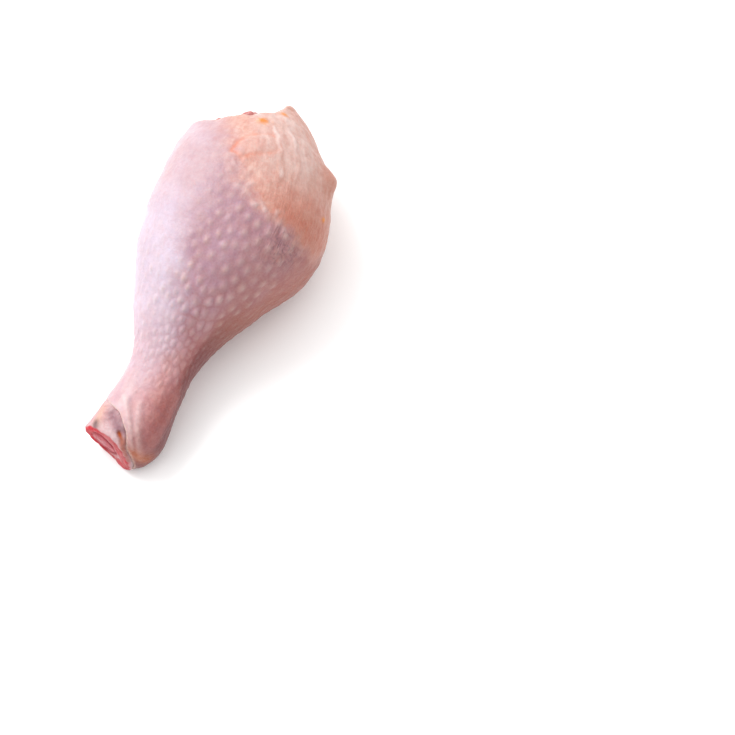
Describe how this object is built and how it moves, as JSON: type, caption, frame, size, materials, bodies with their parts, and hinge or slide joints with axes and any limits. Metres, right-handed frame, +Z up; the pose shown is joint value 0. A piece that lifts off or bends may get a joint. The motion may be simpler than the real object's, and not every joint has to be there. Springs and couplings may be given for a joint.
{
  "type": "raw chicken drumstick",
  "caption": "Raw chicken leg joint with its skin on, plump at the knee and narrow at the hock, where the sawn shin bone and its marrow show in the cut.",
  "frame": {"origin": "middle of the part's box in X and Y, on the surface it lies on", "axes": "+X from the hock to the knee, +Y to the leg's left side, +Z up from the surface it lies on"},
  "size_m": [0.1188, 0.0542, 0.0459],
  "materials": {
    "skin": "raw poultry skin: pale lilac pink, thin enough to glow, moist, with raised feather follicles and fine creases",
    "meat": "raw dark poultry meat at the cuts: wet, pink red, with fine fibres",
    "bone": "sawn bone wall stained dark red, with pale gristle on the knee's head",
    "marrow": "grey pink marrow, wet, with a paler spot"
  },
  "bodies": {
    "root": {"meat_in_skin": "skin", "shin_bone": "bone", "bone_marrow": "marrow"}
  },
  "joints": []
}
